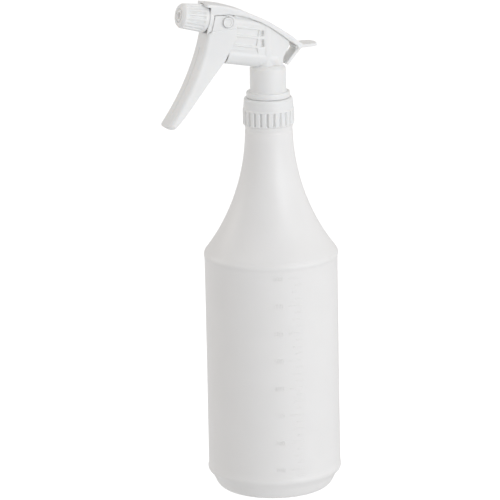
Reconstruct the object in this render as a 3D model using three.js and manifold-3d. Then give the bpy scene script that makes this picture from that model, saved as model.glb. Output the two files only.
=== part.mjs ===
// Trigger spray bottle: a round blow-moulded bottle with a screw-on trigger pump.
// Millimetres, +Z up. The origin is on the bottle's axis at its flat base, and +X is the way it sprays.

import * as THREE from 'three';
import { mergeVertices } from 'three/addons/utils/BufferGeometryUtils.js';
import Module from 'manifold-3d';

const wasm = await Module();
wasm.setup();

// ---- Driving dimensions ----

const SIDES = 32;
const SMALL_SIDES = 20;
const GAP = 0.3;

// Bottle
const PANEL_R = 43;
const BULGE_R = 43.5;
const BASE_R = 33;
const WALL = 1.1;
const FLOOR = 1.6;
const HEEL_Z = 13.5;
const SHOULDER_Z = 155.4;
const NECK_Z = 240;
const NECK_R = 15.55;
const FINISH_R = 12.4;
const FINISH_BORE_R = 10.5;
const FINISH_TOP = 253.8;

// Closure and its screw thread
const THREAD_PITCH = 4.23;
const THREAD_TURNS = 1.25;
const THREAD_CREST_R = 13.65;
const CAP_Z = 240.6;
const CAP_TOP = 258.1;
const CAP_R = 16.5;
const CAP_TOP_R = 15.6;
const CAP_BORE_R = 14.35;
const CAP_CREST_R = 12.85;
const CAP_HOLE_R = 9.2;
const CAP_RIBS = 24;

// Shank and flange of the pump body
const FLANGE_R = 14;
const FLANGE_TOP = 262;
const SHANK_R = 11.6;
const SHANK_BORE_R = 8.9;
const SHANK_TOP = 279;

// Tilted frame of the head: x runs forward along the barrel's axis, z is square to it
const TILT = THREE.MathUtils.degToRad(11.5);
const BARREL_Z = 304.5;
const BARREL_R = 6.2;
const BODY_HALF_W = 6.5;
const PIVOT_X = 30.6;
const PIN_R = 3.1;
const NOSE_X = 41;
const CYL_Z = -20.7;
const CYL_R = 6.5;
const CYL_BORE_R = 5.3;
const CYL_FRONT = 26;
const CYL_REAR = -5;
const FIN_Z = [-2.3, -8, -13.9];
const POST_X = 2.2;
const POST_R = 6.5;

// Trigger
const TRIGGER_HALF_W = 8;
const EAR_HOLE_R = 3.5;
const EAR_R = 4.9;

// Shroud
const SHROUD_WALL = 1.5;

// Nozzle
const NOZZLE_REAR = 44.2;
const NOZZLE_FRONT = 61.8;
const NOZZLE_REAR_R = 9;
const NOZZLE_FRONT_R = 7.0;
const NOZZLE_FLUTES = 18;
const NOZZLE_PITCH = 2;

// Dip tube
const TUBE_R = 3.2;
const TUBE_BORE_R = 2.2;
const TUBE_TOP = 261.5;
const TUBE_END_Z = 5;
const TUBE_END_X = 16;

const WHITE = 0xf1f1ef;
const group = new THREE.Group();

// ---- Solids and booleans ----

function toSolid(geometry) {
  const bare = geometry.clone();
  for (const name of Object.keys(bare.attributes)) {
    if (name !== 'position') {
      bare.deleteAttribute(name);
    }
  }
  const merged = mergeVertices(bare, 1e-4);
  const vertProperties = new Float32Array(merged.attributes.position.array);
  const triVerts = new Uint32Array(merged.index.array);
  const solid = new wasm.Manifold(new wasm.Mesh({ numProp: 3, vertProperties, triVerts }));
  if (solid.volume() > 0) {
    return solid;
  }
  triVerts.reverse();
  return new wasm.Manifold(new wasm.Mesh({ numProp: 3, vertProperties, triVerts }));
}

function fromSolid(solid) {
  const mesh = solid.getMesh();
  const geometry = new THREE.BufferGeometry();
  geometry.setAttribute('position', new THREE.BufferAttribute(mesh.vertProperties, 3));
  geometry.setIndex(new THREE.BufferAttribute(mesh.triVerts, 1));
  geometry.computeVertexNormals();
  return geometry;
}

function combine(added, removed = []) {
  let solid = toSolid(added[0]);
  for (const geometry of added.slice(1)) {
    solid = solid.add(toSolid(geometry));
  }
  for (const geometry of removed) {
    solid = solid.subtract(toSolid(geometry));
  }
  return fromSolid(solid);
}

function common(first, second) {
  return fromSolid(toSolid(first).intersect(toSolid(second)));
}

// ---- Basic shapes ----

// A solid of revolution about Z. The profile [r, z] starts and ends on the axis, or closes on itself.
function turned(profile, sides = SIDES) {
  const points = profile.map(([r, z]) => new THREE.Vector2(r, z));
  return new THREE.LatheGeometry(points, sides).rotateX(Math.PI / 2);
}

function ring(outer, inner, z0, z1, sides = SIDES) {
  return turned([[inner, z0], [outer, z0], [outer, z1], [inner, z1], [inner, z0]], sides);
}

function rod(r, z0, z1, sides = SIDES) {
  return turned([[0, z0], [r, z0], [r, z1], [0, z1]], sides);
}

// The same solids lying along the head's x axis
function laid(geometry, z = 0) {
  return geometry.rotateY(Math.PI / 2).translate(0, 0, z);
}

function block(x0, x1, y0, y1, z0, z1) {
  const box = new THREE.BoxGeometry(x1 - x0, y1 - y0, z1 - z0);
  return box.translate((x0 + x1) / 2, (y0 + y1) / 2, (z0 + z1) / 2);
}

// A side outline in the XZ plane, given its thickness across Y
function plate(outline, y0, y1) {
  const shape = new THREE.Shape(outline.map(([x, z]) => new THREE.Vector2(x, z)));
  const solid = new THREE.ExtrudeGeometry(shape, { depth: y1 - y0, bevelEnabled: false });
  return solid.rotateX(Math.PI / 2).translate(0, y1, 0);
}

// A pin across Y
function crossPin(r, x, z, y0, y1, sides = 24) {
  return rod(r, y0, y1, sides).rotateX(-Math.PI / 2).translate(x, 0, z);
}

// Turns a geometry from the head's tilted frame into the part's frame
function tilted(geometry) {
  return geometry.rotateY(-TILT).translate(0, 0, BARREL_Z);
}

// The place in the part's frame of a point in the head's frame
function headPoint(x, z) {
  const c = Math.cos(TILT);
  const s = Math.sin(TILT);
  return [x * c - z * s, BARREL_Z + x * s + z * c];
}

// Points along a cubic curve, for one stretch of an outline
function curve(points, steps) {
  const path = new THREE.CubicBezierCurve(...points.map(([x, z]) => new THREE.Vector2(x, z)));
  return path.getPoints(steps).map((p) => [p.x, p.y]);
}

// Points on an arc, angles in degrees
function arc(x, z, r, from, to, steps) {
  const points = [];
  for (let i = 0; i <= steps; i += 1) {
    const a = THREE.MathUtils.degToRad(from + ((to - from) * i) / steps);
    points.push([x + r * Math.cos(a), z + r * Math.sin(a)]);
  }
  return points;
}

// A screw thread as a helical ridge on a core of radius root, with run-out at both ends
function thread(root, crest, z0, pitch, turns, rootHalf, crestHalf, perTurn = 20) {
  const steps = Math.round(perTurn * turns);
  const positions = [];
  const index = [];
  const sunk = root < crest ? -0.3 : 0.3;
  for (let i = 0; i <= steps; i += 1) {
    const a = (i / perTurn) * 2 * Math.PI;
    const z = z0 + (i / perTurn) * pitch;
    const fade = Math.min(1, 0.1 + i / 4, 0.1 + (steps - i) / 4);
    const tip = root + (crest - root) * fade;
    const section = [[root + sunk, -rootHalf], [root + sunk, rootHalf], [tip, crestHalf], [tip, -crestHalf]];
    for (const [r, dz] of section) {
      positions.push(r * Math.cos(a), r * Math.sin(a), z + dz);
    }
  }
  for (let i = 0; i < steps; i += 1) {
    for (let k = 0; k < 4; k += 1) {
      const a = 4 * i + k;
      const b = 4 * i + ((k + 1) % 4);
      index.push(a, b, b + 4, a, b + 4, a + 4);
    }
  }
  const last = 4 * steps;
  index.push(0, 2, 1, 0, 3, 2, last, last + 1, last + 2, last, last + 2, last + 3);
  const geometry = new THREE.BufferGeometry();
  geometry.setAttribute('position', new THREE.BufferAttribute(new Float32Array(positions), 3));
  geometry.setIndex(index);
  return geometry;
}

// A compression spring along z, with closed ends lying flat
function coilSpring(r, wire, z0, z1, turns, perTurn = 9) {
  const points = [];
  const steps = turns * perTurn;
  for (let i = 0; i <= steps; i += 1) {
    const a = (i / perTurn) * 2 * Math.PI;
    const t = THREE.MathUtils.smoothstep(i / steps, 0.06, 0.94);
    const dead = wire * 2 * Math.min(1, i / perTurn, (steps - i) / perTurn);
    const z = z0 + wire + (z1 - z0 - 2 * wire) * t + (t < 0.5 ? dead : -dead) * 0.5;
    points.push(new THREE.Vector3(r * Math.cos(a), r * Math.sin(a), z));
  }
  const section = new THREE.Shape().absarc(0, 0, wire, 0, 2 * Math.PI);
  const path = new THREE.CatmullRomCurve3(points);
  return new THREE.ExtrudeGeometry(section, { steps, curveSegments: 3, extrudePath: path });
}

function add(name, geometry, color = WHITE, roughness = 0.45, metalness = 0) {
  const material = new THREE.MeshStandardMaterial({ color, roughness, metalness });
  const mesh = new THREE.Mesh(fromSolid(toSolid(geometry)), material);
  mesh.name = name;
  group.add(mesh);
}

// ---- Bottle and closure ----

// Outer side from the base ring to the neck: heel, bulge, panel, shoulder bulge and swept cone
function bottleSide(inset) {
  const cone = curve([[PANEL_R - 0.4, 158], [19.4, 188], [15.6, 221.6], [NECK_R, NECK_Z - 4]], 8);
  const heel = curve([[BASE_R, 0], [37.5, 1], [38.6, 5], [40, 8]], 3);
  const side = [
    ...heel,
    ...arc(BULGE_R - 3.2, HEEL_Z, 3.2, -45, 30, 2),
    [PANEL_R, HEEL_Z + 4],
    [PANEL_R - 0.1, 85],
    [PANEL_R, SHOULDER_Z - 5],
    ...arc(BULGE_R - 3.2, SHOULDER_Z, 3.2, -30, 40, 2),
    ...cone,
    [NECK_R, NECK_Z],
  ];
  return side.map(([r, z]) => [r - inset, z]);
}

function bottle() {
  const outside = bottleSide(0);
  const inside = bottleSide(WALL).filter(([, z], i) => z > FLOOR + 3 && z < NECK_Z - 8 && i % 2 === 0);
  const shell = turned([
    [0, 0],
    ...outside,
    [FINISH_R, NECK_Z],
    [FINISH_R, FINISH_TOP],
    [FINISH_BORE_R, FINISH_TOP],
    [FINISH_BORE_R, NECK_Z - 5],
    ...inside.reverse(),
    [BASE_R - WALL, FLOOR],
    [0, FLOOR],
  ]);
  const screw = thread(FINISH_R, THREAD_CREST_R, 244.3, THREAD_PITCH, THREAD_TURNS, 0.85, 0.35);
  return combine([shell, screw]);
}

function closureCap() {
  const skirt = turned([
    [CAP_BORE_R, CAP_Z],
    [CAP_R - 0.5, CAP_Z],
    [CAP_R, CAP_Z + 0.6],
    [CAP_R, CAP_Z + 10],
    [CAP_TOP_R, CAP_TOP - 0.8],
    [CAP_TOP_R - 0.8, CAP_TOP],
    [CAP_HOLE_R, CAP_TOP],
    [CAP_HOLE_R, CAP_TOP - 1.2],
    [CAP_BORE_R, CAP_TOP - 1.2],
    [CAP_BORE_R, CAP_Z],
  ]);
  const screw = thread(CAP_BORE_R, CAP_CREST_R, 242.2, THREAD_PITCH, THREAD_TURNS, 0.85, 0.35);
  const grooves = [];
  for (let i = 0; i < CAP_RIBS; i += 1) {
    const groove = block(CAP_R - 0.7, CAP_R + 1, -0.7, 0.7, CAP_Z + 1, CAP_Z + 9.6);
    grooves.push(groove.rotateZ(((i + 0.2) / CAP_RIBS) * 2 * Math.PI));
  }
  return combine([skirt, screw], grooves);
}

function neckGasket() {
  return ring(12.6, FINISH_BORE_R - 0.2, FINISH_TOP + GAP, FINISH_TOP + 1.5, 24);
}

// Flanged plug under the cap: hub for the dip tube below, valve seat and ball chamber above
function tubeRetainer() {
  const flangeZ = FINISH_TOP + 1.5 + GAP;
  return turned([
    [3.5, 246],
    [5.2, 246],
    [5.2, 250],
    [9.6, 250],
    [9.6, flangeZ],
    [12.6, flangeZ],
    [12.6, flangeZ + 1],
    [SHANK_BORE_R - GAP, flangeZ + 1],
    [SHANK_BORE_R - GAP, 272],
    [3.7, 272],
    [3.7, 264.6],
    [1.9, 263.4],
    [1.9, TUBE_TOP + GAP],
    [3.5, TUBE_TOP + GAP],
    [3.5, 246],
  ], SMALL_SIDES);
}

function dipTube() {
  const bend = TUBE_END_Z + 150;
  const points = [
    new THREE.Vector3(0, 0, TUBE_TOP),
    new THREE.Vector3(0, 0, 240),
    new THREE.Vector3(0, 0, 200),
    new THREE.Vector3(0.5, 0, bend),
    new THREE.Vector3(5.5, 0, bend - 80),
    new THREE.Vector3(TUBE_END_X - 3.5, 0, TUBE_END_Z + 22),
    new THREE.Vector3(TUBE_END_X, 0, TUBE_END_Z),
  ];
  const section = new THREE.Shape().absarc(0, 0, TUBE_R, 0, 2 * Math.PI);
  section.holes.push(new THREE.Path().absarc(0, 0, TUBE_BORE_R, 0, 2 * Math.PI, true));
  const path = new THREE.CatmullRomCurve3(points);
  return new THREE.ExtrudeGeometry(section, { steps: 12, curveSegments: 5, extrudePath: path });
}

function inletBall() {
  return new THREE.SphereGeometry(2.6, 14, 8).translate(0, 0, 265.6);
}

function ballRetainer() {
  return ring(3.4, 1.5, 269.7, 271.1, SMALL_SIDES);
}

// ---- Pump body ----

// The webs between barrel, cylinder and shank, with the vertical post that holds the discharge passage
function webOutline(front) {
  return [[-13, 297.5], [-12.5, 291], [-8.5, 284], [-7.8, 278.4], headPoint(front - 4, CYL_Z - 3),
    headPoint(front, CYL_Z + 8), headPoint(front, 5), [0, 310]];
}

function pumpBody() {
  const slotX = [4.8, 7.6];
  const head = [
    laid(rod(BARREL_R, 2, NOSE_X, 24)),
    laid(rod(CYL_R, -9, CYL_FRONT, 24), CYL_Z),
    block(NOSE_X - 2.6, NOSE_X, -BODY_HALF_W, BODY_HALF_W, -6.6, 5),
    block(20, NOSE_X - 1, -4.6, 4.6, -6, 4),
    crossPin(PIN_R, PIVOT_X, 0, -TRIGGER_HALF_W - 0.2, TRIGGER_HALF_W + 0.2),
    ...FIN_Z.map((z) => block(7, CYL_FRONT, -BODY_HALF_W, BODY_HALF_W, z - 0.6, z + 0.6)),
  ];
  const upright = [
    turned([
      [0, 258.4], [FLANGE_R - 0.6, 258.4], [FLANGE_R, 259], [FLANGE_R, 261.2], [FLANGE_R - 0.8, FLANGE_TOP],
      [SHANK_R, FLANGE_TOP], [SHANK_R, 277.6], [9.5, SHANK_TOP], [0, SHANK_TOP],
    ]),
    plate(webOutline(slotX[1]), -BODY_HALF_W + 0.4, BODY_HALF_W - 0.4),
    plate(webOutline(CYL_FRONT), -BODY_HALF_W + 1.3, BODY_HALF_W - 1.3),
    rod(POST_R, SHANK_TOP - 6, 306, 24).translate(POST_X, 0, 0),
  ];
  const whole = combine([...head.map(tilted), ...upright]);
  const underShroud = plate([...shroudTop(SHROUD_WALL + GAP), [-30, 250], [60, 250]], -20, 20);
  const slots = [];
  for (const side of [-6, 6]) {
    slots.push(block(...slotX, side - 3.5, side + 3.5, 299, 302.6));
    slots.push(block(...slotX, side - 3.5, side + 3.5, 292, 297));
  }
  const bores = [
    rod(SHANK_BORE_R, 250, 272.4, SMALL_SIDES),
    rod(1.7, 271, 284, 8).translate(POST_X, 0, 0),
    rod(1.3, 284, 303.9, 8).translate(POST_X, 0, 0),
    tilted(laid(rod(CYL_BORE_R, CYL_REAR, CYL_FRONT + 5, 24), CYL_Z)),
    tilted(laid(rod(1.3, 1.5, 28, 8), -1.2)),
    tilted(laid(rod(1.9, 26, 33, 12))),
    tilted(laid(rod(4.4, 31.5, 50, SMALL_SIDES))),
  ];
  return combine([common(whole, underShroud)], [...slots, ...bores]);
}

// ---- Shroud: cover over the barrel, rear strap and finger rest ----

// The cover's top edge, front to rear, moved down by inset
function shroudTop(inset) {
  const path = new THREE.CatmullRomCurve3([
    [44.4, 323.6], [38, 322.6], [30.4, 320.8], [20.5, 317.5], [14.8, 314.9], [4.6, 309.9],
    [-0.8, 306.7], [-11.6, 299.4], [-17, 295.2], [-21.5, 291.6],
  ].map(([x, z]) => new THREE.Vector3(x, z, 0)));
  return path.getPoints(18).map((p) => [p.x, p.y - inset]);
}

function shroudSkirt() {
  return [[-17.5, 290.8], [-11.9, 294.9], [-7.1, 298.8], [0.4, 304.1], [7.1, 308.2], [15.7, 312.2],
    [22, 314.2], [30, 315.5], headPoint(NOSE_X + 0.2, 4), headPoint(NOSE_X + 0.2, -6.4),
    headPoint(NOSE_X + 2.7, -6.4), headPoint(NOSE_X + 2.7, 8)];
}

function shroud() {
  const cover = plate([...shroudTop(0), ...shroudSkirt()], -TRIGGER_HALF_W, TRIGGER_HALF_W);
  const inner = [[50, 320], ...shroudTop(SHROUD_WALL).slice(1, -2), [-24, 280], [50, 280]];
  const [px, pz] = headPoint(PIVOT_X, 0);
  const room = [
    plate(inner, -BODY_HALF_W - GAP, BODY_HALF_W + GAP),
    crossPin(EAR_R + GAP, px, pz, -12, 12),
    tilted(laid(rod(NOZZLE_REAR_R + GAP, NOSE_X + 2.7, 60, 28))),
    tilted(laid(rod(BARREL_R + GAP, 36, NOSE_X + 3, 24))),
  ];
  const strapSide = [
    [-17.6, 293.2], [-21.5, 291.2], [-23.1, 290], [-12.2, 278.3], [-10.7, 279.7], [-17.9, 287.9],
  ];
  const strap = plate(strapSide, -5.2, 5.2);
  const wing = new THREE.Shape();
  wing.moveTo(-17, -6.4);
  wing.bezierCurveTo(-21, -7.2, -28, -7.4, -32, -5.6);
  wing.bezierCurveTo(-34, -3, -34, 3, -32, 5.6);
  wing.bezierCurveTo(-28, 7.4, -21, 7.2, -17, 6.4);
  const rest = new THREE.ExtrudeGeometry(wing, { depth: 2.1, bevelEnabled: false, curveSegments: 6 });
  return combine([combine([cover], room), strap, rest.translate(0, 0, 288.9)]);
}

// ---- Trigger ----

function triggerFront(inset) {
  const front = curve([[44.4, 304.5], [47.6, 287], [58.5, 264], [72.7, 246.3]], 10);
  return front.map(([x, z]) => [x - inset, z - inset * 0.45]);
}

function trigger() {
  const [px, pz] = headPoint(PIVOT_X, 0);
  const ear = arc(px, pz, EAR_R, 175, 70, 5);
  const rear = curve([[67.4, 246], [58.6, 253.6], [48.6, 268.4], [33.6, 284.6]], 7);
  const outline = [
    ...ear,
    headPoint(NOSE_X - 0.6, 3.2),
    headPoint(NOSE_X - 0.2, -6.8),
    ...triggerFront(0),
    ...arc(69.9, 248.1, 3.2, -48, -120, 3),
    ...rear,
    [24.6, 300],
    [24.2, 306],
  ];
  const solid = plate(outline, -TRIGGER_HALF_W, TRIGGER_HALF_W);
  const channel = [
    [10, 320], headPoint(NOSE_X + 1, 12), headPoint(NOSE_X + 1, -8),
    ...triggerFront(2.2).slice(1, -2), [57, 251.5], [10, 264],
  ];
  const hollow = plate(channel, -BODY_HALF_W - GAP - 0.05, BODY_HALF_W + GAP + 0.05);
  const cylinderZ = headPoint(39.3, CYL_Z);
  const pusher = plate([headPoint(39, CYL_Z + 2.6), headPoint(46, CYL_Z + 4), headPoint(46, CYL_Z - 4),
    headPoint(39, CYL_Z - 2.6)], -3, 3);
  const pusherNose = crossPin(2.9, cylinderZ[0], cylinderZ[1], -3, 3, 20);
  const reach = plate([...triggerFront(0.3), [20, 246], [20, 304]], -20, 20);
  const [fx, fz] = headPoint(PIVOT_X + 1.5, 0);
  const holes = [crossPin(EAR_HOLE_R, px, pz, -20, 20), crossPin(EAR_HOLE_R + 0.4, fx, fz, -20, 20)];
  const shell = combine([solid], [hollow, ...holes]);
  const push = common(combine([pusher, pusherNose]), reach);
  return combine([shell, push]);
}

// ---- Piston, springs and outlet ----

function pistonRod() {
  return tilted(laid(turned([
    [0, 9], [2.2, 9], [2.2, 13.4], [4.6, 13.4], [4.6, 15], [3.4, 15.6], [3.4, 21],
    [2.6, 21.4], [2.6, 23.2], [3.4, 23.6], [3.4, 35], [2.4, 36.1], [0, 36.1],
  ], SMALL_SIDES), CYL_Z));
}

function pistonCup() {
  return tilted(laid(turned([
    [2.5, 9.6], [4.2, 9.6], [5.1, 8.2], [5.1, 9.4], [4.8, 13.1], [2.5, 13.1], [2.5, 9.6],
  ], SMALL_SIDES), CYL_Z));
}

function ventSeal() {
  return tilted(laid(turned([
    [2.9, 21.7], [4.3, 21.7], [5.1, 20.8], [5.1, 22.2], [4.3, 22.9], [2.9, 22.9], [2.9, 21.7],
  ], SMALL_SIDES), CYL_Z));
}

function returnSpring() {
  return tilted(laid(coilSpring(3.6, 0.4, CYL_REAR + GAP, 9.2, 5), CYL_Z));
}

function noseBushing() {
  const body = turned([
    [2.6, 33.6], [4.1, 33.6], [4.1, NOSE_X + GAP], [5.9, NOSE_X + GAP], [5.9, NOSE_X + 1.8],
    [4.7, NOSE_X + 1.8], [4.7, 53], [2.6, 53], [2.6, 33.6],
  ], SMALL_SIDES);
  const screw = thread(4.7, 5.4, 45.6, NOZZLE_PITCH, 2, 0.5, 0.2, 14);
  return tilted(laid(combine([body, screw])));
}

function dischargeValve() {
  return tilted(laid(turned([
    [0, 32.2], [1.2, 32.2], [2.3, 33.8], [2.3, 36], [1, 36], [1, 38.5], [0, 38.5],
  ], 16)));
}

function dischargeSpring() {
  return tilted(laid(coilSpring(1.75, 0.25, 36.3, 45.3, 4)));
}

function spinner() {
  const core = turned([
    [0, 45.6], [2.2, 45.6], [2.2, 53.3], [3.6, 53.3], [3.6, 56.6], [0, 56.6],
  ], SMALL_SIDES);
  const slots = [];
  for (let i = 0; i < 3; i += 1) {
    slots.push(laid(block(-0.5, 0.5, 1.4, 5, 44, 58).rotateZ((i * 2 * Math.PI) / 3)));
  }
  return tilted(combine([laid(core)], slots));
}

function nozzleSeal() {
  return tilted(laid(ring(5.2, 4.05, 53.4, 54.6, SMALL_SIDES)));
}

function nozzle() {
  const outside = turned([
    [0, NOZZLE_REAR],
    [NOZZLE_REAR_R, NOZZLE_REAR],
    [NOZZLE_REAR_R, NOZZLE_REAR + 2.2],
    [NOZZLE_FRONT_R + 0.9, NOZZLE_FRONT - 1.6],
    [NOZZLE_FRONT_R - 0.6, NOZZLE_FRONT],
    [0, NOZZLE_FRONT],
  ]);
  const cuts = [
    laid(turned([
      [0, NOZZLE_REAR - 5], [5.8, NOZZLE_REAR - 5], [5.8, 53], [5.5, 53.1],
      [5.5, 54.9], [4, 54.9], [4, 57], [0, 57],
    ], SMALL_SIDES)),
    laid(rod(0.6, 56, 60, 8)),
    laid(rod(2.3, NOZZLE_FRONT - 1.4, NOZZLE_FRONT + 2, 16)),
    laid(ring(4.6, 3.7, NOZZLE_FRONT - 0.8, NOZZLE_FRONT + 2, SMALL_SIDES)),
  ];
  const slope = Math.atan((NOZZLE_REAR_R - NOZZLE_FRONT_R - 0.9) / (NOZZLE_FRONT - NOZZLE_REAR - 3.8));
  for (let i = 0; i < NOZZLE_FLUTES; i += 1) {
    const flute = block(-13.4, 3, -0.75, 0.75, -0.8, 0.5).rotateY(slope);
    flute.translate(NOZZLE_FRONT - 2, 0, NOZZLE_FRONT_R + 1.1);
    cuts.push(flute.rotateX(((i + 0.5) / NOZZLE_FLUTES) * 2 * Math.PI));
  }
  const screw = laid(thread(5.7, 5.1, 46.6, NOZZLE_PITCH, 1.5, 0.5, 0.2, 14));
  return tilted(combine([combine([laid(outside)], cuts), screw]));
}

// ---- Assembly ----

add('bottle', bottle(), 0xe9e7e2, 0.4);
add('closure_cap', closureCap());
add('neck_gasket', neckGasket(), 0xd8dcda, 0.7);
add('tube_retainer', tubeRetainer());
add('dip_tube', dipTube(), 0xeceae4, 0.35);
add('inlet_ball', inletBall(), 0xc9ccce, 0.15, 1);
add('ball_retainer', ballRetainer());
add('pump_body', pumpBody());
add('shroud', shroud());
add('trigger', trigger());
add('piston_rod', pistonRod());
add('piston_cup', pistonCup(), 0xe6e4dd, 0.6);
add('vent_seal', ventSeal(), 0xe6e4dd, 0.6);
add('return_spring', returnSpring(), 0xb9bcbe, 0.25, 1);
add('nose_bushing', noseBushing());
add('discharge_valve', dischargeValve());
add('discharge_spring', dischargeSpring(), 0xb9bcbe, 0.25, 1);
add('spinner', spinner());
add('nozzle_seal', nozzleSeal(), 0xd8dcda, 0.7);
add('nozzle', nozzle());

export default group;
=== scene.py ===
# Looks of the trigger spray bottle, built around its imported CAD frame. Blender 4.5.
# Lengths are in millimetres until mesh_piece() scales them to metres. The camera, the lights and the
# floor are in metres throughout.

import math

import bmesh
import bpy
from mathutils import Matrix, Vector, noise


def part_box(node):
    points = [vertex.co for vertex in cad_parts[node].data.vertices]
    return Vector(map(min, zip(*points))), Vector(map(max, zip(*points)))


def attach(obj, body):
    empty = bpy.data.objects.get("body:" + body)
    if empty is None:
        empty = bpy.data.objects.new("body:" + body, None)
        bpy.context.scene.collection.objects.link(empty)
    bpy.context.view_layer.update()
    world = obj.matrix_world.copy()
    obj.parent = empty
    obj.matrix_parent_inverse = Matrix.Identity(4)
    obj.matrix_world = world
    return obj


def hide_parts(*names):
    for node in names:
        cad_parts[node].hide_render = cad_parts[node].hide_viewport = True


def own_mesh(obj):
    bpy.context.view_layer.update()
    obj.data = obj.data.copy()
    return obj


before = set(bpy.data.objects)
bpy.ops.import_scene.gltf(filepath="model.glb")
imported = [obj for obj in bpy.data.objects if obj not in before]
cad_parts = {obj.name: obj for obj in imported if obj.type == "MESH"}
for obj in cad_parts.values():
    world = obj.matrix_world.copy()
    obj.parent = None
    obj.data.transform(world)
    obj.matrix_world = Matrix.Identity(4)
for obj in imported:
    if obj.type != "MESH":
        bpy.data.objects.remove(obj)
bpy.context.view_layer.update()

MM = 0.001
TAU = 2 * math.pi

# ---- Sizes taken from the frame ----


def top_of(node):
    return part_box(node)[1][2] / MM


def foot_of(node):
    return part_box(node)[0][2] / MM


def radius_of(node):
    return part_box(node)[1][1] / MM


FINISH_TOP = top_of("bottle")
CAP_Z = foot_of("closure_cap")
CAP_TOP = top_of("closure_cap")
CAP_R = radius_of("closure_cap")
BULGE_R = radius_of("bottle")
FLANGE_R = radius_of("pump_body")
HALF_W = radius_of("trigger")
TUBE_R = radius_of("dip_tube")

# ---- Bottle ----

PANEL_R = BULGE_R - 0.5
BASE_R = 33
WALL = 1.1
HEEL_Z = 13.5
SHOULDER_Z = 155.4
BULGE_ROUND = 3.2
WAIST_Z = 85
WAIST_DEPTH = 0.1
WAIST_REACH = 66
WALL_INSET = 0.17
RIPPLE = 0.1
INSIDE_FLOOR_Z = 3.5
NECK_Z = 240
NECK_TOP = 240.4
NECK_R = 15.55
FINISH_R = 12.4
FINISH_BORE_R = 10.5
FINISH_SCREW_R = 13.65

# ---- Screw of the neck and the cap ----

PITCH = 4.23
SCREW_TURNS = 1.25
SCREW_ROOT = 0.85
SCREW_CREST = 0.35

# ---- Closure ----

CAP_BORE_R = 14.35
CAP_SCREW_R = 12.85
CAP_MOUTH_R = 9.2
RIBS = 24
RIB_DEPTH = 1.5

# ---- Head, in its tilted frame: x forward along the barrel, z square to it ----

TILT = math.radians(11.5)
BARREL_Z = 304.5
HEAD = Matrix.Translation((0, 0, BARREL_Z)) @ Matrix.Rotation(-TILT, 4, "Y")
LAID = Matrix.Rotation(math.pi / 2, 4, "Y")
PIVOT_X = 30.6
PIN_R = 3.38
PIN_ROOT = 4.8
SHANK_BORE_R = 8.9
RISER_X = 2.2
NOSE_X = 41
COVER_FRONT = 43.95
CYL_Z = -20.7
CYL_R = 6.5
CYL_BORE_R = 5.3
CYL_FRONT = 26
CYL_REAR = -5
BODY_HALF_W = 6.5
COVER_WALL = 1.5
GAP = 0.3
NOZZLE_REAR = 44.2
NOZZLE_FRONT = 61.8
NOZZLE_REAR_R = 9.0
NOZZLE_FRONT_R = 7.0
FLUTES_REAR = 46.8
FLUTES_FRONT = 59.4
FLUTES = 18
FLUTE_DEPTH = 1.05

# ---- Trigger, in the part's XZ plane ----

TIP_X = 69.9
TIP_Z = 248.1
TIP_R = 3.2
EAR_R = 4.9
RIM_ROUND = 2.4


# ---- Camera and light ----

def look_frame(azimuth, elevation, roll):
    """Right, up and back directions of a camera that looks at the object from there."""
    a, e, r = (math.radians(v) for v in (azimuth, elevation, roll))
    back = Vector((math.sin(a) * math.cos(e), -math.cos(a) * math.cos(e), math.sin(e)))
    right = Vector((math.cos(a), math.sin(a), 0))
    up = back.cross(right)
    return right * math.cos(r) + up * math.sin(r), up * math.cos(r) - right * math.sin(r), back


AZIMUTH = 156
ELEVATION = 14.5
ROLL = -1.02
RIGHT, UP, BACK = look_frame(AZIMUTH, ELEVATION, ROLL)
TARGET = Vector((0, 0, 0.157))
DISTANCE = 2.8
LENS = 313.2
SENSOR = 36
SHIFT_X = -0.0419
BACKDROP = 1.1
FILL_LOW = 0.43
FILL_HIGH = 0.72
FLOOR_SIZE = 6
FLOOR_DROP = 0.0005
FLOOR_GLOW = 0.68
KEY_WATTS = 11.5
RIM_WATTS = 6
TOP_WATTS = 3
COOL = (0.93, 0.96, 1)
WARM = (1, 0.975, 0.95)


def add_camera():
    data = bpy.data.cameras.new("camera")
    data.lens = LENS
    data.sensor_width = SENSOR
    data.shift_x = SHIFT_X
    data.clip_end = 100
    camera = bpy.data.objects.new("camera", data)
    turn = Matrix((RIGHT, UP, BACK)).transposed().to_4x4()
    camera.matrix_world = Matrix.Translation(TARGET + BACK * DISTANCE) @ turn
    bpy.context.collection.objects.link(camera)
    bpy.context.scene.camera = camera


def add_area(name, place, size, watts, colour):
    """A round lamp at that place from the target, facing it."""
    data = bpy.data.lights.new(name, "AREA")
    data.shape = "DISK"
    data.size = size
    data.energy = watts
    data.color = colour
    light = bpy.data.objects.new(name, data)
    light.location = TARGET + place
    light.rotation_mode = "QUATERNION"
    light.rotation_quaternion = place.to_track_quat("Z", "Y")
    bpy.context.collection.objects.link(light)


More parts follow.
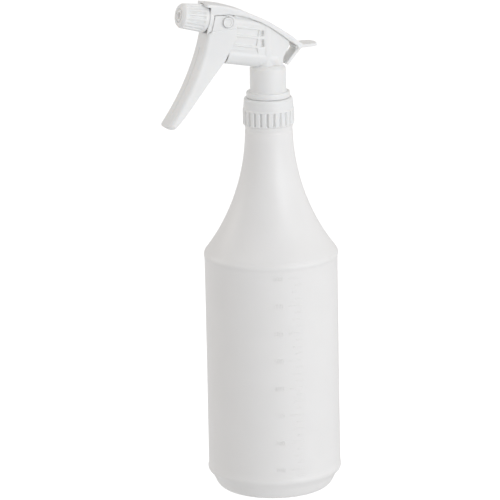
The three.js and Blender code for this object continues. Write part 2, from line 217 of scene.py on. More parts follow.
def add_world():
    """White to the camera. On the object its light grows toward the camera's right and the far side."""
    world = bpy.data.worlds.new("studio")
    world.use_nodes = True
    nodes, links = world.node_tree.nodes, world.node_tree.links
    nodes.clear()
    out = nodes.new("ShaderNodeOutputWorld")
    place = nodes.new("ShaderNodeTexCoord")
    across = nodes.new("ShaderNodeVectorMath")
    across.operation = "DOT_PRODUCT"
    across.inputs[1].default_value = (RIGHT - BACK).normalized()
    ramp = nodes.new("ShaderNodeMapRange")
    ramp.inputs["From Min"].default_value = -1
    ramp.inputs["To Min"].default_value = FILL_LOW
    ramp.inputs["To Max"].default_value = FILL_HIGH
    fill = nodes.new("ShaderNodeBackground")
    fill.inputs["Color"].default_value = (*WARM, 1)
    links.new(place.outputs["Generated"], across.inputs[0])
    links.new(across.outputs["Value"], ramp.inputs["Value"])
    links.new(ramp.outputs["Result"], fill.inputs["Strength"])
    white = nodes.new("ShaderNodeBackground")
    white.inputs["Strength"].default_value = BACKDROP
    mix = nodes.new("ShaderNodeMixShader")
    path = nodes.new("ShaderNodeLightPath")
    links.new(path.outputs["Is Camera Ray"], mix.inputs["Fac"])
    links.new(fill.outputs[0], mix.inputs[1])
    links.new(white.outputs[0], mix.inputs[2])
    links.new(mix.outputs[0], out.inputs["Surface"])
    bpy.context.scene.world = world


def add_studio():
    bpy.context.scene.view_settings.view_transform = "Standard"
    add_camera()
    add_world()
    toward = Vector((BACK.x, BACK.y, 0)).normalized()
    add_area("key", RIGHT * 1.2 + toward * 1.3 + Vector((0, 0, 0.5)), 0.9, KEY_WATTS, COOL)
    add_area("rim", -RIGHT * 1.75 - toward * 0.45 + Vector((0, 0, 0.6)), 0.8, RIM_WATTS, WARM)
    add_area("top", Vector((0, 0, 1.7)) + BACK * 0.3, 1.2, TOP_WATTS, COOL)


# ---- Outline and profile tools ----

def arc(x, z, r, start, end, steps):
    """Points on an arc, angles in degrees."""
    angles = [math.radians(start + (end - start) * i / steps) for i in range(steps + 1)]
    return [(x + r * math.cos(a), z + r * math.sin(a)) for a in angles]


def curve(points, steps):
    """Points along a cubic Bezier curve."""
    p = [Vector(q) for q in points]
    path = []
    for i in range(steps + 1):
        t = i / steps
        s = 1 - t
        q = s ** 3 * p[0] + 3 * s * s * t * p[1] + 3 * s * t * t * p[2] + t ** 3 * p[3]
        path.append((q.x, q.y))
    return path


def spline(points, steps):
    """A smooth curve through the points (Catmull-Rom)."""
    p = [Vector(q) for q in points]
    p = [2 * p[0] - p[1], *p, 2 * p[-1] - p[-2]]
    path = []
    for a, b, c, d in zip(p, p[1:], p[2:], p[3:]):
        for i in range(steps):
            t = i / steps
            q = 0.5 * (2 * b + (c - a) * t + (2 * a - 5 * b + 4 * c - d) * t * t
                       + (3 * b - a - 3 * c + d) * t ** 3)
            path.append((q.x, q.y))
    path.append(tuple(p[-2][:2]))
    return path


def filleted(points, closed=False):
    """Rounds each corner given as (x, z, radius); a corner given as (x, z) stays sharp."""
    out = []
    count = len(points)
    for i, point in enumerate(points):
        radius = point[2] if len(point) > 2 else 0
        here = Vector(point[:2])
        ends = not closed and i in (0, count - 1)
        if ends or radius <= 0:
            out.append(tuple(here))
            continue
        to_last = Vector(points[i - 1][:2]) - here
        to_next = Vector(points[(i + 1) % count][:2]) - here
        room = 0.49 * min(to_last.length, to_next.length)
        to_last.normalize()
        to_next.normalize()
        half = to_last.angle(to_next) / 2
        if half > math.radians(88):
            out.append(tuple(here))
            continue
        reach = min(radius / math.tan(half), room)
        size = reach * math.tan(half)
        centre = here + (to_last + to_next).normalized() * (size / math.sin(half))
        first = here + to_last * reach - centre
        turn = math.pi - 2 * half
        way = 1 if to_last.cross(to_next) < 0 else -1
        steps = max(2, round(math.degrees(turn) / 15))
        for k in range(steps + 1):
            spin = Matrix.Rotation(way * turn * k / steps, 2)
            out.append(tuple(centre + spin @ first))
    return out


def refined(profile, longest):
    """Splits the long stretches of a profile so that each is at most that long."""
    out = [profile[0]]
    for a, b in zip(profile, profile[1:]):
        parts = max(1, math.ceil(math.dist(a, b) / longest))
        for k in range(1, parts + 1):
            t = k / parts
            out.append((a[0] + (b[0] - a[0]) * t, a[1] + (b[1] - a[1]) * t))
    return out


def head_point(x, z):
    """The place in the part's XZ plane of a point in the head's frame."""
    p = HEAD @ Vector((x, 0, z))
    return (p.x, p.z)


# ---- Mesh tools ----

def mesh_piece(name, verts, faces, matrix=None):
    """A closed mesh in millimetres, placed by matrix, as a Blender object in metres."""
    place = matrix or Matrix.Identity(4)
    mesh = bpy.data.meshes.new(name)
    mesh.from_pydata([tuple((place @ Vector(v)) * MM) for v in verts], [], faces)
    bm = bmesh.new()
    bm.from_mesh(mesh)
    bmesh.ops.recalc_face_normals(bm, faces=bm.faces)
    bm.to_mesh(mesh)
    bm.free()
    obj = bpy.data.objects.new(name, mesh)
    bpy.context.collection.objects.link(obj)
    return obj


def turned(name, profile, sides=96, matrix=None, shape=None):
    """A solid of revolution about Z. A profile that starts on the axis also ends on it, and any other
    closes on itself. shape(r, z, angle) may give each point another radius."""
    verts, rings, faces = [], [], []
    for r, z in profile:
        ring = [len(verts) + k for k in range(sides if r > 1e-6 else 1)]
        for k in range(len(ring)):
            a = TAU * k / sides
            q = shape(r, z, a) if shape else r
            verts.append((q * math.cos(a), q * math.sin(a), z))
        rings.append(ring)
    pairs = list(zip(rings, rings[1:]))
    if profile[0][0] > 1e-6:
        pairs.append((rings[-1], rings[0]))
    for low, high in pairs:
        for k in range(sides):
            n = (k + 1) % sides
            corners = [low[k % len(low)], low[n % len(low)], high[n % len(high)], high[k % len(high)]]
            face = list(dict.fromkeys(corners))
            if len(face) > 2:
                faces.append(face)
    return mesh_piece(name, verts, faces, matrix)


def rod(r, z0, z1, matrix=None, sides=72, edge=0.0):
    """A plain cylinder about Z, used for joining and cutting."""
    profile = filleted([(0, z0), (r, z0, edge), (r, z1, edge), (0, z1)])
    return turned("rod", profile, sides, matrix)


def laid_rod(r, x0, x1, z=0, sides=72, edge=0.0):
    """A cylinder along the head's x axis."""
    return rod(r, x0, x1, HEAD @ Matrix.Translation((0, 0, z)) @ LAID, sides, edge)


def cross_pin(r, x, z, y0, y1, sides=72):
    """A cylinder across Y at that place in the XZ plane."""
    matrix = Matrix.Translation((x, 0, z)) @ Matrix.Rotation(-math.pi / 2, 4, "X")
    return rod(r, y0, y1, matrix, sides)


def plate(outline, y0, y1, edge=0.0, matrix=None):
    """A side outline in the XZ plane with a thickness across Y, its two rims rounded by edge."""
    count = len(outline)
    verts = [(x, y, z) for y in (y0, y1) for x, z in outline]
    faces = [list(range(count)), list(range(2 * count - 1, count - 1, -1))]
    faces += [[k, (k + 1) % count, count + (k + 1) % count, count + k] for k in range(count)]
    obj = mesh_piece("plate", verts, faces, matrix)
    if edge:
        round_rims(obj, edge)
    return obj


def round_rims(obj, edge):
    """Rounds the edges round a plate's two broad faces."""
    bm = bmesh.new()
    bm.from_mesh(obj.data)
    broad = [f for f in bm.faces if len(f.verts) > 4]
    rims = list({e for f in broad for e in f.edges})
    bmesh.ops.bevel(bm, geom=rims, offset=edge * MM, segments=4, profile=0.5, affect="EDGES",
                    clamp_overlap=True)
    bm.to_mesh(obj.data)
    bm.free()


def block(x0, x1, y0, y1, z0, z1, matrix=None):
    """A plain box between those limits."""
    return plate([(x0, z0), (x1, z0), (x1, z1), (x0, z1)], y0, y1, 0, matrix)


def swept(name, points, outer, sides, bore=0.0, matrix=None):
    """A round tube along the points, solid or with a bore."""
    path = [Vector(p) for p in points]
    tangents = [(b - a).normalized() for a, b in zip([path[0], *path], [*path[1:], path[-1]])]
    tangents = [(a + b).normalized() for a, b in zip(tangents, [*tangents[1:], tangents[-1]])]
    side = tangents[0].orthogonal().normalized()
    verts = []
    for p, t in zip(path, tangents):
        side = (side - t * side.dot(t)).normalized()
        other = t.cross(side)
        for r in ([outer, bore] if bore else [outer]):
            for k in range(sides):
                a = TAU * k / sides
                verts.append(p + side * (r * math.cos(a)) + other * (r * math.sin(a)))
    layers = 2 if bore else 1
    faces = []
    last = len(path) - 1

    def at(i, layer, k):
        return (i * layers + layer) * sides + k % sides

    for i in range(last):
        for layer in range(layers):
            faces += [[at(i, layer, k), at(i, layer, k + 1), at(i + 1, layer, k + 1), at(i + 1, layer, k)]
                      for k in range(sides)]
    for i in (0, last):
        if bore:
            faces += [[at(i, 0, k), at(i, 0, k + 1), at(i, 1, k + 1), at(i, 1, k)] for k in range(sides)]
        else:
            faces.append([at(i, 0, k) for k in range(sides)])
    return mesh_piece(name, verts, faces, matrix)


def thread(name, root, crest, z0, pitch, turns, root_half, crest_half, matrix=None, per_turn=72):
    """A helical ridge with rounded crest corners and run-out at both ends."""
    steps = round(per_turn * turns)
    sunk = root + (-0.3 if root < crest else 0.3)
    verts = []
    for i in range(steps + 1):
        a = TAU * i / per_turn
        z = z0 + pitch * i / per_turn
        fade = min(1, 0.05 + i / 14, 0.05 + (steps - i) / 14)
        tip = root + (crest - root) * fade
        soft = root + (tip - root) * 0.75
        for r, dz in [(sunk, -root_half), (sunk, root_half), (soft, crest_half + 0.12),
                      (tip, crest_half * 0.6), (tip, -crest_half * 0.6), (soft, -crest_half - 0.12)]:
            verts.append((r * math.cos(a), r * math.sin(a), z + dz))
    faces = []
    for i in range(steps):
        for k in range(6):
            a, b = 6 * i + k, 6 * i + (k + 1) % 6
            faces.append([a, b, b + 6, a + 6])
    faces += [list(range(6)), [6 * steps + k for k in range(6)]]
    return mesh_piece(name, verts, faces, matrix)


def coil(name, r, wire, z0, z1, turns, matrix):
    """A compression spring along z with closed, flat ends."""
    per_turn = 28
    steps = turns * per_turn
    points = []
    for i in range(steps + 1):
        a = TAU * i / per_turn
        t = min(max((i / steps - 0.06) / 0.88, 0), 1)
        t = t * t * (3 - 2 * t)
        dead = wire * 2 * min(1, i / per_turn, (steps - i) / per_turn)
        z = z0 + wire + (z1 - z0 - 2 * wire) * t + (dead if t < 0.5 else -dead) * 0.5
        points.append((r * math.cos(a), r * math.sin(a), z))
    return swept(name, points, wire, 10, 0, matrix)


def merged(name, *objs):
    """One object that holds all the meshes."""
    bm = bmesh.new()
    for obj in objs:
        bm.from_mesh(obj.data)
    bm.to_mesh(objs[0].data)
    bm.free()
    for obj in objs[1:]:
        bpy.data.objects.remove(obj)
    objs[0].name = name
    objs[0].data.name = name
    return objs[0]


def welded(obj):
    """Joins the points that lie on each other, which closes a mesh made of separate faces."""
    bm = bmesh.new()
    bm.from_mesh(obj.data)
    bmesh.ops.remove_doubles(bm, verts=bm.verts, dist=0.001 * MM)
    bmesh.ops.recalc_face_normals(bm, faces=bm.faces)
    bm.to_mesh(obj.data)
    bm.free()
    return obj


def settled(obj):
    """Applies the object's modifiers to its mesh."""
    graph = bpy.context.evaluated_depsgraph_get()
    mesh = bpy.data.meshes.new_from_object(obj.evaluated_get(graph))
    obj.modifiers.clear()
    obj.data = mesh


def cut(name, body, tools, operation="DIFFERENCE"):
    """Cuts the tools, or keeps only what lies in them, from a body made of overlapping solids."""
    tool = merged("tool", *tools)
    modifier = body.modifiers.new("cut", "BOOLEAN")
    modifier.operation = operation
    modifier.object = tool
    modifier.solver = "EXACT"
    modifier.use_self = True
    settled(body)
    bpy.data.objects.remove(tool)
    body.name = name
    body.data.name = name
    return body


def moulded(obj, voxel, soften=4):
    """Gives a joined solid the small rounded edges and corners of a moulding."""
    remesh = obj.modifiers.new("remesh", "REMESH")
    remesh.mode = "VOXEL"
    remesh.voxel_size = voxel * MM
    smooth = obj.modifiers.new("smooth", "SMOOTH")
    smooth.factor = 0.5
    smooth.iterations = soften
    thin = obj.modifiers.new("thin", "DECIMATE")
    thin.ratio = 0.35
    settled(obj)
    return obj


# ---- Materials ----

def plastic(name, colour, roughness, scatter=0.0, radius=(1, 0.9, 0.8), depth=3, mottle=0.02, grain=0.0,
            grain_size=0.6, streak=0.0):
    """Moulded plastic: faint flow mottling in colour and gloss, fine surface grain and streaks along Z."""
    material = bpy.data.materials.new(name)
    material.use_nodes = True
    nodes, links = material.node_tree.nodes, material.node_tree.links
    shader = nodes["Principled BSDF"]
    shader.inputs["Subsurface Weight"].default_value = scatter
    shader.inputs["Subsurface Radius"].default_value = radius
    shader.inputs["Subsurface Scale"].default_value = depth * MM
    shader.inputs["IOR"].default_value = 1.49
    place = nodes.new("ShaderNodeTexCoord")
    flow = nodes.new("ShaderNodeTexNoise")
    flow.inputs["Scale"].default_value = 45
    flow.inputs["Detail"].default_value = 3
    links.new(place.outputs["Object"], flow.inputs["Vector"])
    tint = nodes.new("ShaderNodeValToRGB")
    tint.color_ramp.elements[0].position = 0.3
    tint.color_ramp.elements[1].position = 0.7
    tint.color_ramp.elements[0].color = (*(c * (1 - mottle) for c in colour), 1)
    tint.color_ramp.elements[1].color = (*(min(1, c * (1 + mottle * 0.5)) for c in colour), 1)
    links.new(flow.outputs["Fac"], tint.inputs["Fac"])
    links.new(tint.outputs["Color"], shader.inputs["Base Color"])
    gloss = nodes.new("ShaderNodeMapRange")
    gloss.inputs["To Min"].default_value = roughness - 0.05
    gloss.inputs["To Max"].default_value = roughness + 0.07
    links.new(flow.outputs["Fac"], gloss.inputs["Value"])
    links.new(gloss.outputs["Result"], shader.inputs["Roughness"])
    skin = nodes.new("ShaderNodeTexNoise")
    skin.inputs["Scale"].default_value = 1 / (grain_size * MM)
    skin.inputs["Detail"].default_value = 2
    links.new(place.outputs["Object"], skin.inputs["Vector"])
    height = skin.outputs["Fac"]
    if streak:
        stretch = nodes.new("ShaderNodeMapping")
        stretch.inputs["Scale"].default_value = (1, 1, 0.03)
        links.new(place.outputs["Object"], stretch.inputs["Vector"])
        lines = nodes.new("ShaderNodeTexNoise")
        lines.inputs["Scale"].default_value = 380
        links.new(stretch.outputs["Vector"], lines.inputs["Vector"])
        both = nodes.new("ShaderNodeMath")
        both.operation = "MULTIPLY_ADD"
        both.inputs[1].default_value = streak
        links.new(lines.outputs["Fac"], both.inputs[0])
        links.new(height, both.inputs[2])
        height = both.outputs["Value"]
    bump = nodes.new("ShaderNodeBump")
    bump.inputs["Strength"].default_value = 0.5
    bump.inputs["Distance"].default_value = grain * MM
    links.new(height, bump.inputs["Height"])
    links.new(bump.outputs["Normal"], shader.inputs["Normal"])
    return material


def steel(name):
    """Drawn stainless wire: bright, with fine draw marks."""
    material = bpy.data.materials.new(name)
    material.use_nodes = True
    nodes, links = material.node_tree.nodes, material.node_tree.links
    shader = nodes["Principled BSDF"]
    shader.inputs["Metallic"].default_value = 1
    shader.inputs["Base Color"].default_value = (0.66, 0.67, 0.68, 1)
    place = nodes.new("ShaderNodeTexCoord")
    marks = nodes.new("ShaderNodeTexNoise")
    marks.inputs["Scale"].default_value = 2200
    links.new(place.outputs["Object"], marks.inputs["Vector"])
    gloss = nodes.new("ShaderNodeMapRange")
    gloss.inputs["To Min"].default_value = 0.16
    gloss.inputs["To Max"].default_value = 0.34
    links.new(marks.outputs["Fac"], gloss.inputs["Value"])
    links.new(gloss.outputs["Result"], shader.inputs["Roughness"])
    bump = nodes.new("ShaderNodeBump")
    bump.inputs["Distance"].default_value = 0.01 * MM
    links.new(marks.outputs["Fac"], bump.inputs["Height"])
    links.new(bump.outputs["Normal"], shader.inputs["Normal"])
    return material


WHITE = (0.9, 0.9, 0.895)
MATERIALS = {
    "bottle_plastic": plastic("natural_polyethylene", (0.91, 0.902, 0.895), 0.42, 0.15, (1, 0.97, 0.92), 2,
                              0.012, 0.02, 0.9, 0.8),
    "cap_plastic": plastic("cap_polypropylene", WHITE, 0.36, 0.25, grain=0.01),
    "head_plastic": plastic("head_polypropylene", WHITE, 0.36, 0.25, grain=0.01),
    "trigger_plastic": plastic("trigger_polypropylene", WHITE, 0.38, 0.25, grain=0.012, streak=1.5),
    "nozzle_plastic": plastic("nozzle_polypropylene", WHITE, 0.36, 0.25, grain=0.01),
    "inner_plastic": plastic("natural_polypropylene", (0.8, 0.8, 0.78), 0.42, 0.4, grain=0.01),
    "tube_plastic": plastic("tube_polyethylene", (0.8, 0.8, 0.77), 0.35, 0.5, grain=0.01),
    "seal": plastic("soft_seal", (0.6, 0.62, 0.6), 0.6, 0.2, grain=0.02),
    "steel": steel("stainless_wire"),
}


def dress(obj, body, slot, *nodes, crease=35):
    """Finishes a piece: smooth shading with crisp creases, its material, its body and the CAD nodes that
    it stands for."""
    for polygon in obj.data.polygons:
        polygon.use_smooth = True
    obj.data.set_sharp_from_angle(angle=math.radians(crease))
    obj.data.materials.clear()
    obj.data.materials.append(MATERIALS[slot])
    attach(obj, body)
    if nodes:
        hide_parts(*nodes)


# ---- Bottle ----

def bottle_side():
    """Outer profile from the heel to the neck: heel, bulge, panel, shoulder bulge and swept cone."""
    cone = curve([(PANEL_R - 0.4, 158), (19.4, 188), (15.6, 221.6), (NECK_R, NECK_Z - 4)], 44)
    heel = curve([(BASE_R, 0), (37.5, 1), (38.6, 5), (40, 8)], 12)
    return [
        *heel,
        *arc(BULGE_R - BULGE_ROUND, HEEL_Z, BULGE_ROUND, -45, 30, 8),
        (PANEL_R, HEEL_Z + 4),
        (PANEL_R - WAIST_DEPTH, WAIST_Z),
        (PANEL_R, SHOULDER_Z - 5),
        *arc(BULGE_R - BULGE_ROUND, SHOULDER_Z, BULGE_ROUND, -30, 40, 8),
        *cone,
    ]


def mould_line(angle):
    """Height of the parting line, a fine ridge at the front and back of the bottle."""
    off = min(abs(angle), abs(angle - math.pi), abs(angle - TAU)) * PANEL_R
    return 0.14 * math.exp(-((off / 0.55) ** 2))


def blown(r, z, angle):
    """The slight waviness of a blow-moulded wall, with the parting line on its outside."""
    if r < FINISH_R + 0.2:
        return r
    ripple = noise.noise(Vector((math.cos(angle) * 1.6, math.sin(angle) * 1.6, z / 38)))
    return r - WALL_INSET + RIPPLE * ripple + mould_line(angle) * 0.7


def bottle_shell():
    side = bottle_side()
    neck = [(NECK_R, 236.4), (NECK_R - 0.35, 236.9), (NECK_R - 0.35, 238), (NECK_R, 238.5),
            (NECK_R, NECK_TOP, 0.3), (FINISH_R, NECK_TOP, 0.3), (FINISH_R, FINISH_TOP, 0.3),
            (FINISH_BORE_R, FINISH_TOP, 0.3), (FINISH_BORE_R, NECK_Z - 5, 2)]
    inside = [(r - WALL, z) for r, z in side if 4.5 < z < NECK_Z - 8][::-1]
    under = filleted([(0, 2.1), (24, 1.9, 4), (29.5, 0, 1), (BASE_R - 1, 0)])
    profile = [*under, *side, *filleted(neck), *inside, (BASE_R - 3, 2.4), (24, 3.3), (0, 3.6)]
    shell = turned("shell", refined(profile, 2.5), 192, None, blown)
    screw = thread("screw", FINISH_R, FINISH_SCREW_R, 244.3, PITCH, SCREW_TURNS, SCREW_ROOT, SCREW_CREST)
    dress(merged("bottle_shell", shell, screw), "bottle", "bottle_plastic", "bottle", crease=50)


def level_z(millilitres):
    """Height of the liquid at that volume in the bottle's straight part."""
    area = math.pi * (PANEL_R - WALL) ** 2
    return INSIDE_FLOOR_Z + millilitres * 1000 / area


def panel_point(x, z, height):
    """A point at that height over the panel's wall. x runs round the panel from the +Y side, seen from
    outside."""
    angle = math.pi / 2 + x / PANEL_R
    waist = WAIST_DEPTH * max(0, 1 - abs(z - WAIST_Z) / WAIST_REACH)
    r = blown(PANEL_R - waist, z, angle) + height
    return (r * math.cos(angle), r * math.sin(angle), z)


def wrapped_mark(x0, x1, z0, z1, height, columns=8):
    """A raised bar on the panel."""
    verts, faces = [], []
    for over in (-0.4, height):
        for z in (z0, z1):
            for k in range(columns + 1):
                verts.append(panel_point(x0 + (x1 - x0) * k / columns, z, over))
    n = columns + 1
    for k in range(columns):
        faces += [[k, k + 1, n + k + 1, n + k], [2 * n + k, 2 * n + k + 1, 3 * n + k + 1, 3 * n + k],
                  [k, k + 1, 2 * n + k + 1, 2 * n + k], [n + k, n + k + 1, 3 * n + k + 1, 3 * n + k]]
    faces += [[0, n, 3 * n, 2 * n], [n - 1, 2 * n - 1, 4 * n - 1, 3 * n - 1]]
    return mesh_piece("mark", verts, faces)


def wrapped_number(text, x, z, size, height):
    """A raised numeral on the panel, read from outside."""
    data = bpy.data.curves.new("number", "FONT")
    data.body = text
    data.size = size
    data.extrude = 0.5
    data.resolution_u = 3
    data.align_y = "CENTER"
    obj = bpy.data.objects.new("number", data)
    bpy.context.collection.objects.link(obj)
    graph = bpy.context.evaluated_depsgraph_get()
    mesh = bpy.data.meshes.new_from_object(obj.evaluated_get(graph))
    bpy.data.objects.remove(obj)
    verts = [panel_point(x + v.co.x, z + v.co.y, height if v.co.z > 0 else -0.3) for v in mesh.vertices]
    faces = [list(p.vertices) for p in mesh.polygons]
    bpy.data.meshes.remove(mesh)
    return welded(mesh_piece("number", verts, faces))


def graduations():
    """Moulded scale, faintly raised: a tick every 25 ml, longer at each 50, numbered at each 100."""
    raised = 0.24
    marks = []
    for volume in range(75, 801, 25):
        length = {0: 9, 50: 6.5}.get(volume % 100, 4.5)
        z = level_z(volume)
        marks.append(wrapped_mark(2 - length, 2, z - 0.4, z + 0.4, raised))
        if volume % 100 == 0:
            marks.append(wrapped_number(str(volume), -17, z, 4.2, raised))
    dress(merged("graduations", *marks), "bottle", "bottle_plastic")


def pinch_off():
    """The welded seam left across the bottle's underside."""
    seam = plate(filleted([(-20, 0.9), (20, 0.9), (20, 2.4, 0.5), (-20, 2.4, 0.5)], True), -0.6, 0.6, 0.3)
    seam.name = "pinch_off_seam"
    dress(seam, "bottle", "bottle_plastic")


# ---- Closure and parts of the neck ----

def cap_ribs(r, z, angle):
    """Twenty-four broad ribs parted by narrow rounded grooves round the lower part of the cap."""
    if r < CAP_R - 0.9 or z > CAP_Z + 10.4:
        return r
    pitch = TAU / RIBS
    off = abs((angle - 0.2 * pitch + pitch / 2) % pitch - pitch / 2) * CAP_R
    side = min(max((1.05 - off) / 0.55, 0), 1)
    ends = min(max((z - CAP_Z - 0.5) / 0.7, 0), 1) * min(max((CAP_Z + 9.9 - z) / 0.7, 0), 1)
    return r - RIB_DEPTH * side * side * (3 - 2 * side) * ends


def closure_cap():
    lip = [(CAP_BORE_R, CAP_Z, 0.3), (CAP_R, CAP_Z, 0.7), (CAP_R, CAP_Z + 10.2, 0.8),
           (CAP_R - 0.45, CAP_Z + 10.6, 0.4), (15.6, CAP_TOP, 1.3), (CAP_MOUTH_R, CAP_TOP, 0.3),
           (CAP_MOUTH_R, CAP_TOP - 1.2, 0.3), (CAP_BORE_R, CAP_TOP - 1.2, 0.5)]
    skirt = turned("skirt", refined(filleted(lip, True), 0.5), RIBS * 16, None, cap_ribs)
    screw = thread("screw", CAP_BORE_R, CAP_SCREW_R, 242.2, PITCH, SCREW_TURNS, SCREW_ROOT, SCREW_CREST)
    dress(merged("cap_shell", skirt, screw), "closure", "cap_plastic", "closure_cap")


def neck_gasket():
    foot, top = FINISH_TOP + GAP, FINISH_TOP + 1.5
    ring = filleted([(10.3, foot, 0.2), (12.6, foot, 0.2), (12.6, top, 0.2), (10.3, top, 0.2)], True)
    dress(turned("gasket_ring", ring), "head", "seal", "neck_gasket")


def tube_retainer():
    flange = FINISH_TOP + 1.5 + GAP
    profile = filleted([
        (3.5, 246, 0.3), (5.2, 246, 0.5), (5.2, 250, 0.3), (9.6, 250, 0.4), (9.6, flange, 0.2),
        (12.6, flange, 0.2), (12.6, flange + 1, 0.2), (8.6, flange + 1, 0.2), (8.6, 272, 0.4),
        (3.7, 272, 0.3), (3.7, 264.6), (1.9, 263.4), (1.9, 261.8), (3.5, 261.8),
    ], True)
    dress(turned("retainer_plug", profile), "head", "inner_plastic", "tube_retainer")


def dip_tube():
    route = [(0, 261.5), (0, 240), (0, 200), (0.5, 155), (5.5, 75), (12.5, 27), (16, 5)]
    points = [(x, 0, z) for x, z in spline(route, 12)]
    dress(swept("suction_tube", points, TUBE_R - 0.03, 40, 2.2), "head", "tube_plastic", "dip_tube")


def inlet_valve():
    ball = turned("valve_ball", arc(0, 265.6, 2.55, -90, 90, 32), 48)
    dress(ball, "inlet_ball", "steel", "inlet_ball")
    ring = filleted([(1.5, 269.7, 0.3), (3.4, 269.7, 0.2), (3.4, 271.1, 0.2), (1.5, 271.1, 0.3)], True)
    dress(turned("ball_stop", ring, 64), "head", "inner_plastic", "ball_retainer")


# ---- Head ----

def web_outline(front):
    """The side outline of the web between the shank, the cylinder and the barrel."""
    return [(-13, 297.5), (-12.5, 291), (-8.5, 284), (-7.8, 278.4), head_point(front - 4, CYL_Z - 3),
            head_point(front, CYL_Z + 8), head_point(front, 5), (0, 310)]


def cover_top(inset):
    """The cover's top edge, front to rear, moved down by inset."""
    path = spline([
        (44.4, 323.6), (38, 322.6), (30.4, 320.8), (20.5, 317.5), (14.8, 314.9), (4.6, 309.9),
        (-0.8, 306.7), (-11.6, 299.4), (-17, 295.2), (-21.5, 291.6),
    ], 6)
    return [(x, z - inset) for x, z in path]


def pump_body():
    fins = [block(7, CYL_FRONT, -BODY_HALF_W, BODY_HALF_W, z - 0.6, z + 0.6, HEAD)
            for z in (-2.3, -8, -13.9)]
    px, pz = head_point(PIVOT_X, 0)
    riser = Matrix.Translation((RISER_X, 0, 0))
    upright = turned("upright", filleted([
        (0, 258.25), (FLANGE_R, 258.25, 0.3), (FLANGE_R, 262, 0.7), (11.6, 262, 0.4), (11.6, 277.2, 0.8),
        (9.5, 279, 0.4), (0, 279),
    ]), 96)
    solids = [
        upright,
        laid_rod(6.2, 2, NOSE_X),
        laid_rod(CYL_R, -9, CYL_FRONT, CYL_Z, edge=0.5),
        block(NOSE_X - 2.6, NOSE_X, -BODY_HALF_W, BODY_HALF_W, -6.6, 5, HEAD),
        block(20, NOSE_X - 1, -4.6, 4.6, -6, 4, HEAD),
        plate(web_outline(7.6), -BODY_HALF_W + 0.4, BODY_HALF_W - 0.4),
        plate(web_outline(CYL_FRONT), -BODY_HALF_W + 1.3, BODY_HALF_W - 1.3),
        rod(6.5, 273, 306, riser),
        cross_pin(5, px, pz, -BODY_HALF_W - 0.2, BODY_HALF_W + 0.2),
        *fins,
    ]
    body = merged("pump", *solids)
    under = plate([*cover_top(COVER_WALL + GAP), (-30, 250), (60, 250)], -20, 20)
    body = cut("pump", body, [under], "INTERSECT")
    slots = []
    for y in (-6.9, 6.9):
        slots.append(block(4.8, 7.6, y - 3, y + 3, 299, 302.6))
        slots.append(block(4.8, 7.6, y - 3, y + 3, 292, 297))
    bores = [
        rod(SHANK_BORE_R, 250, 272.4),
        rod(1.7, 271, 284, riser, 32),
        rod(1.3, 284, 303.9, riser, 32),
        laid_rod(CYL_BORE_R, CYL_REAR, CYL_FRONT + 5, CYL_Z),
        laid_rod(1.3, 1.5, 28, -1.2, 32),
        laid_rod(1.9, 26, 33, 0, 32),
        laid_rod(4.4, 31.5, 50),
    ]
    body = cut("pump", body, [*slots, *bores])
    moulded(body, 0.26)
    half = HALF_W + 0.15
    stub = filleted([(0, PIN_ROOT), (PIN_R, PIN_ROOT), (PIN_R, half, 0.3), (2.3, half, 0.3),
                     (1.9, half - 0.35, 0.3), (0, half - 0.35)])
    pivot = Matrix.Translation((px, 0, pz))
    pins = [turned("pin", stub, 64, pivot @ Matrix.Rotation(side * math.pi / 2, 4, "X")) for side in (-1, 1)]
    dress(merged("pump_moulding", body, *pins), "head", "head_plastic", "pump_body", crease=60)


def shroud():
    """The cover: a shell open below, with the collar behind the nozzle, the strap and the finger rest."""
    skirt = [(-17.5, 290.8), (-11.9, 294.9), (-7.1, 298.8), (0.4, 304.1), (7.1, 308.2), (15.7, 312.2),
             (22, 314.2), (30, 315.5), head_point(NOSE_X + 0.2, 3.4), head_point(NOSE_X + 0.2, -6.7),
             head_point(COVER_FRONT, -8.7)]
    deep = [(-18, 285), (-10, 285), (20, 296), (30, 300), head_point(NOSE_X, -14),
            head_point(COVER_FRONT + 3, -14), head_point(COVER_FRONT + 3, 8)]
    cover = plate([*cover_top(0), *deep], -HALF_W, HALF_W, 1.1)
    inner = [(50, 320), *cover_top(COVER_WALL)[4:-6], (-24, 280), (50, 280)]
    px, pz = head_point(PIVOT_X, 0)
    room = [
        plate([*skirt, head_point(COVER_FRONT, -20), (-30, 270)], -20, 20),
        plate(inner, -BODY_HALF_W - GAP, BODY_HALF_W + GAP),
        cross_pin(5.1, px, pz, -12, 12),
        laid_rod(NOZZLE_REAR_R + GAP, COVER_FRONT, 60),
        block(COVER_FRONT, COVER_FRONT + 20, -12, 12, -30, 7.8, HEAD),
        laid_rod(6.5, 36, COVER_FRONT + 1),
    ]
    cover = cut("cover", cover, room)
    collar = cut("collar", laid_rod(NOZZLE_REAR_R - 0.2, NOSE_X + 0.1, COVER_FRONT - 0.1),
                 [laid_rod(6.5, 36, 60), block(36, 50, -20, 20, -30, -6.4, HEAD)])
    strap_side = [(-17.6, 293.2), (-21.5, 291.2), (-23.1, 290), (-12.2, 278.3), (-10.7, 279.7),
                  (-17.9, 287.9)]
    strap = plate(strap_side, -5.2, 5.2, 0.4)
    wing = [*curve([(-17, -6.4), (-21, -7.2), (-28, -7.4), (-32, -5.6)], 12),
            *curve([(-32, -5.6), (-34, -3), (-34, 3), (-32, 5.6)], 12)[1:],
            *curve([(-32, 5.6), (-28, 7.4), (-21, 7.2), (-17, 6.4)], 12)[1:]]
    rest = plate(wing, 288.9, 291, 0.6, Matrix.Rotation(math.pi / 2, 4, "X"))
    cover = moulded(merged("cover", cover, collar, strap, rest), 0.24, 2)
    dress(cover, "head", "head_plastic", "shroud", crease=60)


# ---- Trigger ----

